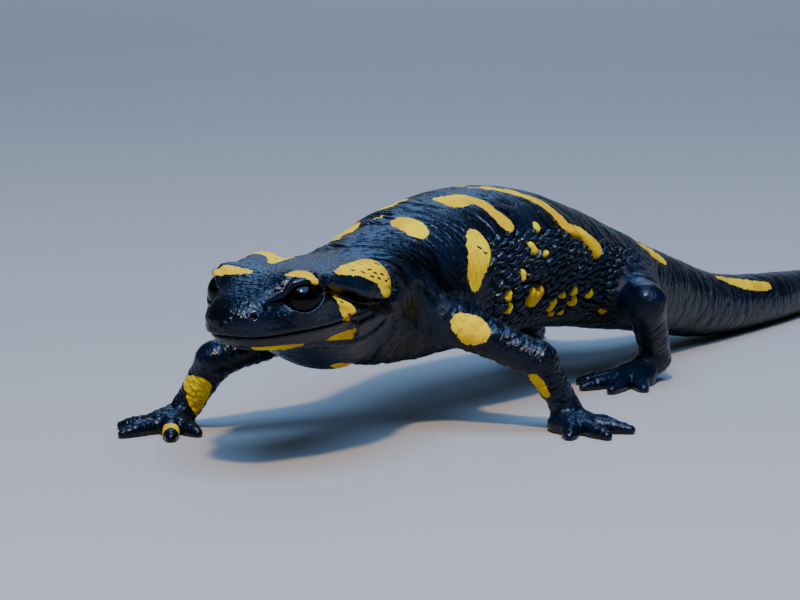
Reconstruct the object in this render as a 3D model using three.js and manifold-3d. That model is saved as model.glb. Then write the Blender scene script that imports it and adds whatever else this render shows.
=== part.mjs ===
// A fire salamander, life size, caught in the middle of a step: a still museum model.
// Millimetres, +Z up. The animal looks along -Y, its left side is +X and the floor is z = 0.
// Body, legs and toes are lofted whole and then parted with thin cuts into named pieces.
import * as THREE from 'three';
import { mergeVertices } from 'three/addons/utils/BufferGeometryUtils.js';
import Module from 'manifold-3d';

const wasm = await Module();
wasm.setup();

// ---------- driving dimensions ----------

const GAP = 0.3;                // clear space between two neighbouring pieces
const BODY_SIDES = 24;          // facets round the head and trunk
const TAIL_SIDES = 16;
const LIMB_SIDES = 10;
const TOE_SIDES = 8;
const EYE_SIDES = 16;
const BODY_STEP = 4.2;          // between two rings of the trunk
const TAIL_STEP = 5;

// Midline from the snout to the tail tip. It is lifted at the trunk and lies down behind the hips.
const SPINE_POINTS = [
  [5.2, -61, 18.9], [4.4, -49.4, 19.8], [2.6, -37.5, 19.3], [0.8, -26, 18.8], [0, -12, 18.9],
  [0, 4, 18.3], [0.1, 18, 15.3], [0.4, 30, 11.8], [0.8, 42, 8.3], [1.2, 56, 4.8],
  [1.4, 75, 3.5], [-1, 94, 2.4], [-7.5, 110, 1.3],
];

// Body sections: station along the midline, half width, rise to the back, drop to the belly,
// and squareness (2 is an ellipse).
const BODY_SECTIONS = [
  [0, 0.5, 0.5, 0.5, 2], [0.8, 2.8, 1.6, 2.1, 2.2], [3, 4.6, 2.9, 3.6, 2.3], [8.5, 7.1, 4.3, 4.8, 2.4],
  [13, 8.4, 4.5, 5.3, 2.3], [19, 9.1, 4.6, 6.2, 2.2], [24, 8.9, 4.6, 7, 2.1], [28, 8.2, 4.7, 7.4, 2.1],
  [34, 8, 5.9, 9.6, 2.1], [44, 9.4, 8, 10.8, 2.1], [58, 11, 9.3, 10.4, 2.1], [72, 10.3, 8.4, 9, 2.1],
  [86, 8.3, 6.9, 7.4, 2.1], [98, 6.6, 6, 6, 2.1], [110, 5.2, 5.2, 5, 2], [120, 4.4, 4.4, 4.2, 2],
  [130, 3.8, 3.8, 3.7, 2], [148, 3, 3, 2.9, 2], [164, 2.1, 2.1, 2, 2], [174, 1.3, 1.3, 1.3, 2],
  [180, 0.4, 0.4, 0.4, 2],
];

// Swellings, the same on both sides: station and reach along the body, angle up from the side and
// spread round it in degrees, and height.
const SWELLINGS = [
  { part: 'brow', station: 8.6, reach: 3.3, angle: 52, spread: 22, height: 1.7 },
  { part: 'parotoid gland', station: 19, reach: 6.5, angle: 32, spread: 18, height: 1.4 },
  { part: 'jaw muscle', station: 18, reach: 5, angle: -12, spread: 20, height: 0.4 },
  { part: 'throat', station: 22.5, reach: 8.5, angle: -90, spread: 40, height: 2.4 },
];

const EYE = { station: 8.8, aside: 5, up: 1.6, radius: 2.6 };

// The closed mouth in side view: station and height over the midline, back to the jaw corner.
const MOUTH_LINE = [[-2, -1], [1, -1.6], [4, -1.8], [9, -1.9], [12, -1.7], [14.5, -1]];
const JAW_BACK = 17;            // station where the lower jaw meets the throat
const BELOW_JAW = -14;
const HEAD_REACH = 14;          // wider and longer than half the head, for its cutters

const HEAD_END = 26;
const BODY_PIECES = [
  { name: 'neck', end: 34 },
  { name: 'trunk_front', end: 50 },
  { name: 'trunk_middle', end: 67 },
  { name: 'trunk_rear', end: 84 },
  { name: 'hips', end: 98 },
  { name: 'tail_root', end: 115 },
  { name: 'tail_middle', end: 134 },
  { name: 'tail_rear', end: 155 },
  { name: 'tail_tip', end: null },
];
const TAIL_START = 98;

// The stretch of the body that the tops of the legs are cut clear of.
const THROAT_STATION = 20;
const TAIL_BASE_STATION = 106;

// Legs: inside point in the trunk, then shoulder or hip, elbow or knee, wrist or ankle, and sole.
// Girths are radii at the first four. Toes run from the innermost: heading in degrees from -Y
// towards +X, and length from the middle of the sole.
const FRONT_GIRTH = [3, 2.6, 2.15, 1.65];
const HIND_GIRTH = [3.3, 3.4, 2.45, 1.8];
const LEGS = [
  {
    name: 'front_left', girth: FRONT_GIRTH,
    points: [[4, -22, 15], [9, -20, 14], [18.7, -14.6, 9.3], [20.3, -10.6, 2.8], [21.5, -11.2, 1]],
    toes: [[30, 5.6], [72, 7], [112, 7.4], [152, 6]],
  },
  {
    name: 'front_right', girth: FRONT_GIRTH,
    points: [[-3, -22, 14.5], [-7, -25, 13.5], [-14.1, -37.9, 9.3], [-18.9, -36.8, 3.3], [-19.8, -39.5, 1]],
    toes: [[76, 5.4], [38, 7.2], [-15, 7.4], [-60, 6.2]],
  },
  {
    name: 'hind_left', girth: HIND_GIRTH,
    points: [[3, 28, 12], [7, 25, 12], [14.2, 18.2, 11.5], [12.3, 24, 3.2], [11.2, 20, 1]],
    toes: [[-86, 5], [-54, 7], [-22, 8], [10, 7.6], [46, 5.6]],
  },
  {
    name: 'hind_right', girth: HIND_GIRTH,
    points: [[-3, 28, 12], [-7, 28, 12], [-15, 31, 11], [-17.4, 39, 3.2], [-20.2, 41.4, 1]],
    toes: [[14, 5], [-18, 7], [-50, 8], [-82, 7.6], [-116, 5.6]],
  },
];
const SOLE = { along: 3.1, across: 2.8, up: 1.9 };
const LIMB_FULLNESS = 1.05;     // middle of a forearm or shin against the mean of its ends

// Toe radii, and the path of its middle: from a point inside the sole, over a bend at part of its
// length, to the tip.
const TOE = { root: 1.05, knuckle: 0.98, tip: 0.78, end: 0.42 };
const TOE_PATH = { start: 1.6, startHeight: 1.02, bend: 0.62, bendHeight: 0.82, tipHeight: 0.48 };

// ---------- materials ----------

const skin = new THREE.MeshStandardMaterial({ color: 0x10161f, roughness: 0.3, metalness: 0 });
const eyeball = new THREE.MeshStandardMaterial({ color: 0x050507, roughness: 0.08, metalness: 0 });

// ---------- curves and sections ----------

const vector = (point) => new THREE.Vector3(...point);
const UPWARD = new THREE.Vector3(0, 0, 1);

function curveThrough(points) {
  const curve = new THREE.CatmullRomCurve3(points.map(vector), false, 'catmullrom', 0.5);
  curve.arcLengthDivisions = 800;
  return curve;
}

const spine = curveThrough(SPINE_POINTS);
const spineLength = spine.getLength();

// The midline's own axes at a station: along to the tail, aside to the animal's left, and up.
function axesAt(station) {
  const where = Math.min(station / spineLength, 1);
  const along = spine.getTangentAt(where);
  const aside = new THREE.Vector3().crossVectors(along, UPWARD).normalize();
  const up = new THREE.Vector3().crossVectors(aside, along);
  return { centre: spine.getPointAt(where), along, aside, up };
}

// Smooth values between the rows of a table, with no overshoot at its highs and lows.
function sectionAt(rows, station) {
  const last = rows.length - 1;
  let i = 0;
  while (i < last - 1 && station > rows[i + 1][0]) i += 1;
  const slopeOf = (k, column) => (rows[k + 1][column] - rows[k][column]) / (rows[k + 1][0] - rows[k][0]);
  const tangent = (k, column) => {
    if (k === 0) return slopeOf(0, column);
    if (k === last) return slopeOf(last - 1, column);
    const before = slopeOf(k - 1, column);
    const after = slopeOf(k, column);
    if (before * after <= 0) return 0;
    const spanBefore = rows[k][0] - rows[k - 1][0];
    const spanAfter = rows[k + 1][0] - rows[k][0];
    return (before * spanAfter + after * spanBefore) / (spanBefore + spanAfter);
  };
  const span = rows[i + 1][0] - rows[i][0];
  const t = (station - rows[i][0]) / span;
  return rows[i].slice(1).map((value, k) => {
    const column = k + 1;
    return (2 * t ** 3 - 3 * t ** 2 + 1) * value
      + (t ** 3 - 2 * t ** 2 + t) * span * tangent(i, column)
      + (3 * t ** 2 - 2 * t ** 3) * rows[i + 1][column]
      + (t ** 3 - t ** 2) * span * tangent(i + 1, column);
  });
}

function swellingAt(station, angle) {
  const side = Math.cos(angle) < 0 ? Math.PI - angle : angle;
  const degrees = THREE.MathUtils.radToDeg(Math.atan2(Math.sin(side), Math.cos(side)));
  let height = 0;
  for (const swelling of SWELLINGS) {
    const along = (station - swelling.station) / swelling.reach;
    const round = (degrees - swelling.angle) / swelling.spread;
    height += swelling.height * Math.exp(-(along ** 2) - round ** 2);
  }
  return height;
}

function bodyRing(station, sides, grow) {
  const { centre, aside, up } = axesAt(station);
  const [halfWidth, rise, drop, squareness] = sectionAt(BODY_SECTIONS, station);
  const power = 2 / squareness;
  const ring = [];
  for (let i = 0; i < sides; i += 1) {
    const angle = (2 * Math.PI * i) / sides;
    const cos = Math.cos(angle);
    const sin = Math.sin(angle);
    const height = sin > 0 ? rise : drop;
    const swell = swellingAt(station, angle);
    const x = (halfWidth + grow) * Math.sign(cos) * Math.abs(cos) ** power + swell * cos;
    const z = (height + grow) * Math.sign(sin) * Math.abs(sin) ** power + swell * sin;
    ring.push(centre.clone().addScaledVector(aside, x).addScaledVector(up, z));
  }
  return ring;
}

// ---------- solids ----------

// A closed mesh through a row of rings, with a flat fan on each end.
function loft(rings) {
  const sides = rings[0].length;
  const points = rings.flat();
  const faces = [];
  for (let r = 0; r < rings.length - 1; r += 1) {
    for (let i = 0; i < sides; i += 1) {
      const a = r * sides + i;
      const b = r * sides + ((i + 1) % sides);
      faces.push([a, b, b + sides], [a, b + sides, a + sides]);
    }
  }
  const lastRing = (rings.length - 1) * sides;
  for (const [start, flip] of [[0, true], [lastRing, false]]) {
    const middle = points.slice(start, start + sides)
      .reduce((sum, point) => sum.add(point), new THREE.Vector3())
      .divideScalar(sides);
    const hub = points.push(middle) - 1;
    for (let i = 0; i < sides; i += 1) {
      const a = start + i;
      const b = start + ((i + 1) % sides);
      faces.push(flip ? [b, a, hub] : [a, b, hub]);
    }
  }
  return closedSolid(points, faces);
}

// Turns the faces outwards when the enclosed volume comes out negative.
function closedSolid(points, faces) {
  let volume = 0;
  for (const [a, b, c] of faces) {
    volume += points[a].dot(new THREE.Vector3().crossVectors(points[b], points[c]));
  }
  const outward = volume < 0 ? faces.map(([a, b, c]) => [a, c, b]) : faces;
  return new wasm.Manifold(new wasm.Mesh({
    numProp: 3,
    vertProperties: new Float32Array(points.flatMap((point) => point.toArray())),
    triVerts: new Uint32Array(outward.flat()),
  }));
}

function solidOf(geometry) {
  const bare = geometry.clone();
  bare.deleteAttribute('normal');
  bare.deleteAttribute('uv');
  const merged = mergeVertices(bare, 1e-4);
  return new wasm.Manifold(new wasm.Mesh({
    numProp: 3,
    vertProperties: new Float32Array(merged.attributes.position.array),
    triVerts: new Uint32Array(merged.index.array),
  }));
}

function ball(centre, radius, sides) {
  return solidOf(new THREE.SphereGeometry(radius, sides, sides / 2).translate(...centre.toArray()));
}

function bodyLoft(start, end, step, sides, grow = 0) {
  const count = Math.max(1, Math.round((end - start) / step));
  const rings = [];
  for (let i = 0; i <= count; i += 1) {
    rings.push(bodyRing(start + ((end - start) * i) / count, sides, grow));
  }
  return loft(rings);
}

// A tube along a curve, its axes carried along so that it doesn't twist.
function tube(points, radii, steps, sides) {
  const curve = curveThrough(points);
  const rows = radii.map((radius, i) => [i / (radii.length - 1), radius]);
  let across = new THREE.Vector3().crossVectors(curve.getTangentAt(0), UPWARD).normalize();
  const rings = [];
  for (let r = 0; r <= steps; r += 1) {
    const along = curve.getTangentAt(r / steps);
    across = across.addScaledVector(along, -across.dot(along)).normalize();
    const over = new THREE.Vector3().crossVectors(across, along);
    const [radius] = sectionAt(rows, r / steps);
    const ring = [];
    for (let i = 0; i < sides; i += 1) {
      const angle = (2 * Math.PI * (i + 0.5)) / sides;
      ring.push(curve.getPointAt(r / steps)
        .addScaledVector(across, radius * Math.cos(angle))
        .addScaledVector(over, radius * Math.sin(angle)));
    }
    rings.push(ring);
  }
  return loft(rings);
}

// Keeps what lies beyond the plane through a point, along the direction, past half a gap.
function beyond(solid, point, direction) {
  return solid.trimByPlane(direction.toArray(), point.dot(direction) + GAP / 2);
}

const aboveFloor = (solid) => solid.trimByPlane([0, 0, 1], 0);

// ---------- pieces ----------

const salamander = new THREE.Group();

function addPiece(name, solid, material) {
  const { vertProperties, triVerts } = solid.getMesh();
  const geometry = new THREE.BufferGeometry();
  geometry.setAttribute('position', new THREE.BufferAttribute(vertProperties, 3));
  geometry.setIndex(new THREE.BufferAttribute(triVerts, 1));
  geometry.computeVertexNormals();
  const piece = new THREE.Mesh(geometry, material);
  piece.name = name;
  salamander.add(piece);
}

function eyeCentre(side) {
  const { centre, aside, up } = axesAt(EYE.station);
  return centre.addScaledVector(aside, side * EYE.aside).addScaledVector(up, EYE.up);
}

// What belongs to the lower jaw: all that lies under the mouth line and ahead of the throat.
function jawRegion(clearance) {
  const outline = new THREE.Shape();
  outline.moveTo(-HEAD_REACH, BELOW_JAW);
  outline.lineTo(JAW_BACK - EYE.station - clearance, BELOW_JAW);
  for (const [station, height] of [...MOUTH_LINE].reverse()) {
    outline.lineTo(station - EYE.station - clearance, height - clearance);
  }
  outline.lineTo(-HEAD_REACH, MOUTH_LINE[0][1] - clearance);
  const slab = new THREE.ExtrudeGeometry(outline, { depth: 2 * HEAD_REACH, bevelEnabled: false });
  slab.translate(0, 0, -HEAD_REACH);
  const { centre, along, aside, up } = axesAt(EYE.station);
  slab.applyMatrix4(new THREE.Matrix4().makeBasis(along, up, aside));
  slab.translate(...centre.toArray());
  return solidOf(slab);
}

function addHead() {
  const noseStations = [0, 0.35, 0.8, 1.6];
  const rings = noseStations.map((station) => bodyRing(station, BODY_SIDES, 0));
  const backStart = 3;
  const backSteps = 15;
  const backEnd = HEAD_END - GAP / 2;
  for (let i = 0; i <= backSteps; i += 1) {
    rings.push(bodyRing(backStart + ((backEnd - backStart) * i) / backSteps, BODY_SIDES, 0));
  }
  const whole = loft(rings);
  let skull = whole.subtract(jawRegion(0));
  for (const [name, side] of [['eye_left', 1], ['eye_right', -1]]) {
    skull = skull.subtract(ball(eyeCentre(side), EYE.radius + GAP, EYE_SIDES));
    addPiece(name, ball(eyeCentre(side), EYE.radius, EYE_SIDES), eyeball);
  }
  addPiece('head', skull, skin);
  addPiece('lower_jaw', whole.intersect(jawRegion(GAP)), skin);
}

function addBody() {
  let start = HEAD_END;
  for (const piece of BODY_PIECES) {
    const isTail = start >= TAIL_START;
    const end = piece.end ? piece.end - GAP / 2 : spineLength;
    const sides = isTail ? TAIL_SIDES : BODY_SIDES;
    const stretch = bodyLoft(start + GAP / 2, end, isTail ? TAIL_STEP : BODY_STEP, sides);
    addPiece(piece.name, aboveFloor(stretch), skin);
    start = piece.end;
  }
}

// Horizontal direction square to the line halfway between two toes, on the first toe's side.
function awayFrom(heading, otherHeading) {
  const halfway = THREE.MathUtils.degToRad((heading + otherHeading) / 2);
  const sign = Math.sign(heading - otherHeading);
  return new THREE.Vector3(Math.cos(halfway), Math.sin(halfway), 0).multiplyScalar(sign);
}

function toeSolid(sole, heading, length) {
  const angle = THREE.MathUtils.degToRad(heading);
  const out = new THREE.Vector3(Math.sin(angle), -Math.cos(angle), 0);
  const at = (distance, height) => [sole.x + out.x * distance, sole.y + out.y * distance, height];
  const points = [
    at(TOE_PATH.start, TOE_PATH.startHeight),
    at(length * TOE_PATH.bend, TOE_PATH.bendHeight),
    at(length, TOE_PATH.tipHeight),
  ];
  const radii = [TOE.root, TOE.knuckle, TOE.knuckle, TOE.tip, TOE.end];
  return aboveFloor(tube(points, radii, 5, TOE_SIDES));
}

function soleSolid(sole, heading, grow) {
  const pad = new THREE.SphereGeometry(1, LIMB_SIDES, LIMB_SIDES / 2);
  pad.scale(SOLE.across + grow, SOLE.along + grow, SOLE.up + grow);
  pad.rotateZ(THREE.MathUtils.degToRad(heading));
  pad.translate(...sole.toArray());
  return solidOf(pad);
}

function addLeg(leg, bodySpace) {
  const [inner, root, joint, wrist, sole] = leg.points.map(vector);
  const [innerGirth, rootGirth, jointGirth, wristGirth] = leg.girth;
  const middleToe = leg.toes[Math.floor(leg.toes.length / 2)][0];
  const middleGirth = LIMB_FULLNESS * (jointGirth + wristGirth) / 2;
  const limb = (points, radii, steps) => tube(points.map((p) => p.toArray()), radii, steps, LIMB_SIDES);

  const upper = limb([inner, root, joint], [innerGirth, rootGirth, jointGirth], 5)
    .add(ball(joint, jointGirth, LIMB_SIDES));
  const lower = limb([joint, wrist], [jointGirth, middleGirth, wristGirth], 3)
    .add(ball(joint, jointGirth, LIMB_SIDES))
    .add(ball(wrist, wristGirth, LIMB_SIDES));
  const foot = (grow) => limb([wrist, sole], [wristGirth + grow, wristGirth + grow], 2)
    .add(ball(wrist, wristGirth + grow, LIMB_SIDES))
    .add(soleSolid(sole, middleToe, grow));

  const upperWay = joint.clone().sub(root).normalize();
  const lowerWay = wrist.clone().sub(joint).normalize();
  const footWay = sole.clone().sub(wrist).normalize();
  const jointCut = upperWay.add(lowerWay).normalize();
  const wristCut = lowerWay.clone().add(footWay).normalize();

  const upperPiece = beyond(upper, joint, jointCut.clone().negate()).subtract(bodySpace);
  const lowerPiece = beyond(beyond(lower, joint, jointCut), wrist, wristCut.clone().negate());
  addPiece(`${leg.name}_upper`, upperPiece, skin);
  addPiece(`${leg.name}_lower`, aboveFloor(lowerPiece), skin);
  addPiece(`${leg.name}_foot`, aboveFloor(beyond(foot(0), wrist, wristCut)), skin);
  leg.toes.forEach(([heading, length], i) => {
    let toe = toeSolid(sole, heading, length).subtract(foot(GAP));
    for (const neighbour of [leg.toes[i - 1], leg.toes[i + 1]]) {
      if (neighbour) toe = beyond(toe, sole, awayFrom(heading, neighbour[0]));
    }
    addPiece(`${leg.name}_toe_${i + 1}`, toe, skin);
  });
}

addHead();
addBody();
const bodySpace = bodyLoft(THROAT_STATION, TAIL_BASE_STATION, BODY_STEP, BODY_SIDES, GAP);
for (const leg of LEGS) addLeg(leg, bodySpace);

// The origin goes to the middle of the bounding box's base.
const box = new THREE.Box3().setFromObject(salamander);
const middle = box.getCenter(new THREE.Vector3());
salamander.position.set(-middle.x, -middle.y, -box.min.z);

export default salamander;
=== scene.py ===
"""A fire salamander in mid-stride: wet blue-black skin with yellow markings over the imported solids.

One skin is grown from the same midline, sections and legs as the solids, and then worked like clay:
lids, nostrils, mouth, gland pores, neck folds, flank beads and toe creases. Sizes are millimetres in
the animal's own frame (it looks along -Y, its left is +X, the floor is z = 0) until the last step,
which turns them to metres and sets them on the frame's origin.
"""
import math
from itertools import product

import bpy
import bmesh
import numpy as np
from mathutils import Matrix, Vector, kdtree


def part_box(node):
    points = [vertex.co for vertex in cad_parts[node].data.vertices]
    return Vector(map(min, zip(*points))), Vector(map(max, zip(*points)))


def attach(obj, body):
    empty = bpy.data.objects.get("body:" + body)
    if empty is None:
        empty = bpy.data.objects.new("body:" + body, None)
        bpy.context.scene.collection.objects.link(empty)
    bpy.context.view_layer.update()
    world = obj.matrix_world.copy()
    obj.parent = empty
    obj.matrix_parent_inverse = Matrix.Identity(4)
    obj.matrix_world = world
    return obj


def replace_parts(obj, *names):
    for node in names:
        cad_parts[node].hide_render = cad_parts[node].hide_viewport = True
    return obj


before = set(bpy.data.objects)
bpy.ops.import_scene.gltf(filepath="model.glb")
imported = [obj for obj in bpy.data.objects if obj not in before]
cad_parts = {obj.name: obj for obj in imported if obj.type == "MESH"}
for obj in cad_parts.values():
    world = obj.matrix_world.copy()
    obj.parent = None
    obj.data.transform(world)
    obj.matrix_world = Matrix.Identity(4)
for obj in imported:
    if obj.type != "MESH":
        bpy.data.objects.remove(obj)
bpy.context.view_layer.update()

MM = 0.001

# ---------- the animal's build: the same named sizes as its solids ----------

# the midline from the snout to the tip of the tail: x, y, z
SPINE = [
    (5.2, -61, 18.9), (4.4, -49.4, 19.8), (2.6, -37.5, 19.3), (0.8, -26, 18.8), (0, -12, 18.9),
    (0, 4, 18.3), (0.1, 18, 15.3), (0.4, 30, 11.8), (0.8, 42, 8.3), (1.2, 56, 4.8),
    (1.4, 75, 3.5), (-1, 94, 2.4), (-7.5, 110, 1.3),
]
# station, half width, rise, drop, squareness
SECTIONS = [
    (0, 0.5, 0.5, 0.5, 2), (0.8, 2.8, 1.6, 2.1, 2.2), (3, 4.6, 2.9, 3.6, 2.3), (8.5, 7.1, 4.3, 4.8, 2.4),
    (13, 8.4, 4.5, 5.3, 2.3), (19, 9.1, 4.6, 6.2, 2.2), (24, 8.9, 4.6, 7, 2.1), (28, 8.2, 4.7, 7.4, 2.1),
    (34, 8, 5.9, 9.6, 2.1), (44, 9.4, 8, 10.8, 2.1), (58, 11, 9.3, 10.4, 2.1), (72, 10.3, 8.4, 9, 2.1),
    (86, 8.3, 6.9, 7.4, 2.1), (98, 6.6, 6, 6, 2.1), (110, 5.2, 5.2, 5, 2), (120, 4.4, 4.4, 4.2, 2),
    (130, 3.8, 3.8, 3.7, 2), (148, 3, 3, 2.9, 2), (164, 2.1, 2.1, 2, 2), (174, 1.3, 1.3, 1.3, 2),
    (180, 0.4, 0.4, 0.4, 2),
]
# station, reach, angle, spread, height
SWELLINGS = [
    (8.6, 3.3, 52, 22, 1.7),     # brow
    (19, 6.5, 32, 18, 0.7),      # parotoid gland, under the gland's own sausage
    (18, 5, -12, 20, 0.4),       # jaw muscle
    (22.5, 8.5, -90, 40, 2.4),   # throat
    (5.7, 2.5, 28, 28, -1.1),    # hollow in front of the eye
]
EYE_STATION, EYE_ASIDE, EYE_UP, EYE_RADIUS = 8.8, 5, 1.6, 2.6
# station, height above the midline
MOUTH_LINE = [(-2, -1), (1, -1.6), (4, -1.8), (9, -1.9), (12, -1.7), (14.5, -1)]

# radii inside the body, where the leg leaves it, at the elbow or knee, and at the wrist or ankle
FRONT_GIRTH = (3, 2.6, 2.15, 1.65)
HIND_GIRTH = (3.3, 3.4, 2.45, 1.8)
# for each leg: radii, points from inside the body to the sole's middle, heading and length of each toe
LEGS = {
    "front_left": (
        FRONT_GIRTH,
        [(4, -22, 15), (9, -20, 14), (18.7, -14.6, 9.3), (20.3, -10.6, 2.8), (21.5, -11.2, 1)],
        [(30, 5.6), (72, 7), (112, 7.4), (152, 6)]),
    "front_right": (
        FRONT_GIRTH,
        [(-3, -22, 14.5), (-7, -25, 13.5), (-14.1, -37.9, 9.3), (-18.9, -36.8, 3.3), (-19.8, -39.5, 1)],
        [(76, 5.4), (38, 7.2), (-15, 7.4), (-60, 6.2)]),
    "hind_left": (
        HIND_GIRTH,
        [(3, 28, 12), (7, 25, 12), (14.2, 18.2, 11.5), (12.3, 24, 3.2), (11.2, 20, 1)],
        [(-86, 5), (-54, 7), (-22, 8), (10, 7.6), (46, 5.6)]),
    "hind_right": (
        HIND_GIRTH,
        [(-3, 28, 12), (-7, 28, 12), (-15, 31, 11), (-17.4, 39, 3.2), (-20.2, 41.4, 1)],
        [(14, 5), (-18, 7), (-50, 8), (-82, 7.6), (-116, 5.6)]),
}
SOLE_ALONG, SOLE_ACROSS, SOLE_UP = 3.1, 2.8, 1.9
LIMB_FULLNESS = 1.05
TOE_RADII = [1.15, 1.05, 1, 0.9, 0.6]
TOE_START, TOE_START_HEIGHT = 1.6, 1.02
TOE_BEND, TOE_BEND_HEIGHT = 0.62, 0.82     # the bend's share of the way from the sole to the tip
TOE_TIP_HEIGHT = 0.48

LID_THICKNESS = 0.42
EYE_OUTWARD, EYE_RAISED = 52, 10           # which way an eye looks, in degrees from straight ahead
# the parotoid gland's two ends: station, angle, depth of its middle under the head, radius
GLAND = [(11.5, 35, 1.3, 1.55), (20.6, 25, 1.95, 3.05)]

# how widely neighbouring forms run into each other
LID_BLEND, GLAND_BLEND, SHOULDER_BLEND = 1.3, 0.7, 4.5
KNEE_BLEND, ANKLE_BLEND, SOLE_BLEND = 1.2, 1.0, 0.8
TOE_BLEND, WEB_BLEND, ROD_BLEND = 0.9, 0.25, 0.12

SKIN_GRAIN = 0.25      # size of the skin's faces; the head, the beaded flanks and the hands have half of it
HEAD_FINE = 27         # the station where the head's fine faces end
HAND_FINE = 9          # how far from the middle of a sole the fine faces reach
FAR = 99.0             # further than any distance that matters
TRUNK_RADIUS = 9       # turns an angle on the trunk into millimetres round it

LEFT, RIGHT = 1, -1
SIDES = (("left", LEFT), ("right", RIGHT))

# ---------- curves and smooth fields ----------


def unit(v):
    return v / np.maximum(np.linalg.norm(v, axis=-1, keepdims=True), 1e-9)


def smooth_path(points, steps=40):
    """A Catmull-Rom curve through the points."""
    p = np.array(points, float)
    p = np.vstack([2 * p[0] - p[1], p, 2 * p[-1] - p[-2]])
    t = np.linspace(0, 1, steps, endpoint=False)[:, None]
    out = []
    for before, start, end, after in zip(p, p[1:], p[2:], p[3:]):
        leave, arrive = (end - before) / 2, (after - start) / 2
        out.append((2 * t**3 - 3 * t**2 + 1) * start + (t**3 - 2 * t**2 + t) * leave
                   + (3 * t**2 - 2 * t**3) * end + (t**3 - t**2) * arrive)
    out.append(p[-2][None])
    return np.vstack(out)


def path_lengths(path):
    """The distance along a path at each of its points."""
    return np.r_[0, np.cumsum(np.linalg.norm(np.diff(path, axis=0), axis=1))]


def at_lengths(path, lengths, at):
    """The points of a path at the given distances along it."""
    return np.stack([np.interp(at, lengths, path[:, i]) for i in range(3)], 1)


def rows_at(rows, x):
    """Smooth values between a table's rows, with no overshoot at its highs and lows."""
    rows = np.array(rows, float)
    at, y = rows[:, 0], rows[:, 1:]
    span = np.diff(at)[:, None]
    slope = np.diff(y, axis=0) / span
    tangent = np.empty_like(y)
    tangent[0], tangent[-1] = slope[0], slope[-1]
    tangent[1:-1] = (slope[:-1] * span[:-1] + slope[1:] * span[1:]) / (span[:-1] + span[1:])
    tangent[1:-1][slope[:-1] * slope[1:] <= 0] = 0
    i = np.clip(np.searchsorted(at, x) - 1, 0, len(at) - 2)
    h = span[i]
    t = ((x - at[i])[:, None]) / h
    return ((2 * t**3 - 3 * t**2 + 1) * y[i] + (t**3 - 2 * t**2 + t) * h * tangent[i]
            + (3 * t**2 - 2 * t**3) * y[i + 1] + (t**3 - t**2) * h * tangent[i + 1])


def smoothstep(low, high, x):
    t = np.clip((x - low) / (high - low), 0, 1)
    return t * t * (3 - 2 * t)


def bell(x, width):
    return np.exp(-(x / width) ** 2)


def smooth_union(a, b, blend):
    h = np.maximum(blend - np.abs(a - b), 0) / blend
    return np.minimum(a, b) - h * h * blend / 4


def scramble(cells, seed):
    """A repeatable random number from 0 to 1 for each whole-number cell."""
    h = np.full(len(cells), seed * 2654435761)
    for column, prime in zip(cells.T, (73856093, 19349663, 83492791, 49979687)):
        h = h ^ (column * prime)
    h = (h ^ (h >> 13)) * 1274126177
    h = (h ^ (h >> 16)) & 0xFFFFFF
    return h / float(0xFFFFFF)


def noise(p, size, seed):
    """A smooth random field from about -1 to 1, with lumps of the given size."""
    q = p / size
    sides = q.shape[1]
    cell = np.floor(q).astype(np.int64)
    f = q - cell
    fade = f * f * f * (f * (f * 6 - 15) + 10)
    total = np.zeros(len(p))
    for corner in product((0, 1), repeat=sides):
        corner = np.array(corner)
        way = np.stack([scramble(cell + corner, seed + 1 + k) for k in range(sides)], 1) * 2 - 1
        weight = np.prod(np.where(corner == 1, fade, 1 - fade), axis=1)
        total += weight * (way * (f - corner)).sum(1)
    return total * 1.6


def cell_distance(q, seed, stagger=0.9):
    """Distances to the two nearest of scattered points with one in each cell of size 1."""
    cell = np.floor(q).astype(np.int64)
    nearest = np.full(len(q), FAR)
    second = np.full(len(q), FAR)
    for step in product((-1, 0, 1), repeat=q.shape[1]):
        other = cell + np.array(step)
        jitter = np.stack([scramble(other, seed + k) for k in range(q.shape[1])], 1)
        d = np.linalg.norm(other + 0.5 + (jitter - 0.5) * stagger - q, axis=1)
        second = np.minimum(second, np.maximum(nearest, d))
        nearest = np.minimum(nearest, d)
    return nearest, second


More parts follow.
